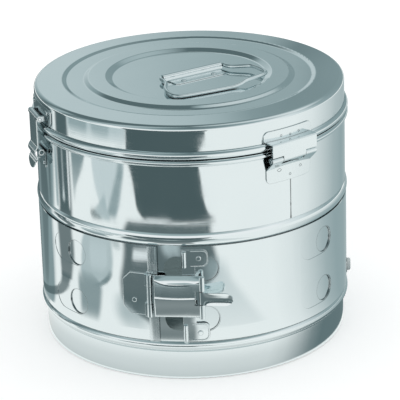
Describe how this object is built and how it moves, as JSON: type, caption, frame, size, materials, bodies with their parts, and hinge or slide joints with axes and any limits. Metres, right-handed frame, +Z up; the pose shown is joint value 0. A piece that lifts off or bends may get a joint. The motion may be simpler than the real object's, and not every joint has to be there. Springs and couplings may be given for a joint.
{
  "type": "sterilization drum",
  "caption": "Round beaded stainless drum with a hinged lid, folding bail handle, lid clasp and a clasped vent band that turns to open its holes.",
  "frame": {"origin": "on the drum's axis, at the underside of its foot", "axes": "+Z up along the drum's axis; -Y towards the band clasp's side, +X to the right seen from there"},
  "size_m": [0.2907, 0.2966, 0.243],
  "materials": {
    "polished_shell": "mirror polished stainless steel",
    "pressed_fittings": "pressed stainless steel, polished",
    "wire_and_pins": "polished stainless wire and pins"
  },
  "bodies": {
    "drum": {"body_shell": "polished_shell", "bottom_disc": "polished_shell", "hinge_lower_leaf": "pressed_fittings", "hinge_pin": "wire_and_pins", "lid_catch": "pressed_fittings", "lid_catch_rivets": "wire_and_pins"},
    "lid": {"lid_shell": "polished_shell", "hinge_upper_leaf": "pressed_fittings", "lid_clasp_plate": "pressed_fittings", "lid_clasp_pin": "wire_and_pins", "lid_clasp_rivets": "wire_and_pins", "handle_clip": "pressed_fittings", "handle_clip_rivets": "wire_and_pins"},
    "bail": {"bail_handle": "wire_and_pins"},
    "strap": {"lid_clasp_strap": "pressed_fittings"},
    "band": {"vent_band": "polished_shell", "slide_tab": "pressed_fittings", "clasp_leaf": "pressed_fittings", "clasp_leaf_rivet": "wire_and_pins", "clasp_pin": "wire_and_pins", "clasp_strike": "pressed_fittings", "clasp_strike_rivets": "wire_and_pins"},
    "lever": {"clasp_lever": "pressed_fittings", "thumb_pin": "wire_and_pins"},
    "thumb": {"clasp_thumb": "pressed_fittings"}
  },
  "joints": [
    {"name": "lid_hinge", "type": "hinge", "parent": "drum", "child": "lid", "pos_m": [0.0875, -0.11612, 0.1995], "axis": [0.7986, 0.6018, 0], "range_deg": [0, 105]},
    {"name": "bail_fold", "type": "hinge", "parent": "lid", "child": "bail", "pos_m": [0.00254, 0.0016, 0.23977], "axis": [-0.8453, -0.5344, 0], "range_deg": [0, 100]},
    {"name": "strap_swing", "type": "hinge", "parent": "lid", "child": "strap", "pos_m": [-0.13675, -0.04575, 0.2195], "axis": [-0.3173, 0.9483, 0], "range_deg": [0, 120]},
    {"name": "vent_slide", "type": "hinge", "parent": "drum", "child": "band", "pos_m": [0, 0, 0.08275], "axis": [0, 0, -1], "range_deg": [0, 10]},
    {"name": "lever_swing", "type": "hinge", "parent": "band", "child": "lever", "pos_m": [-0.03986, -0.139, 0.082], "axis": [0, 0, -1], "range_deg": [0, 120]},
    {"name": "thumb_lift", "type": "hinge", "parent": "lever", "child": "thumb", "pos_m": [0.00559, -0.14694, 0.082], "axis": [0, 0, -1], "range_deg": [0, 90]}
  ]
}
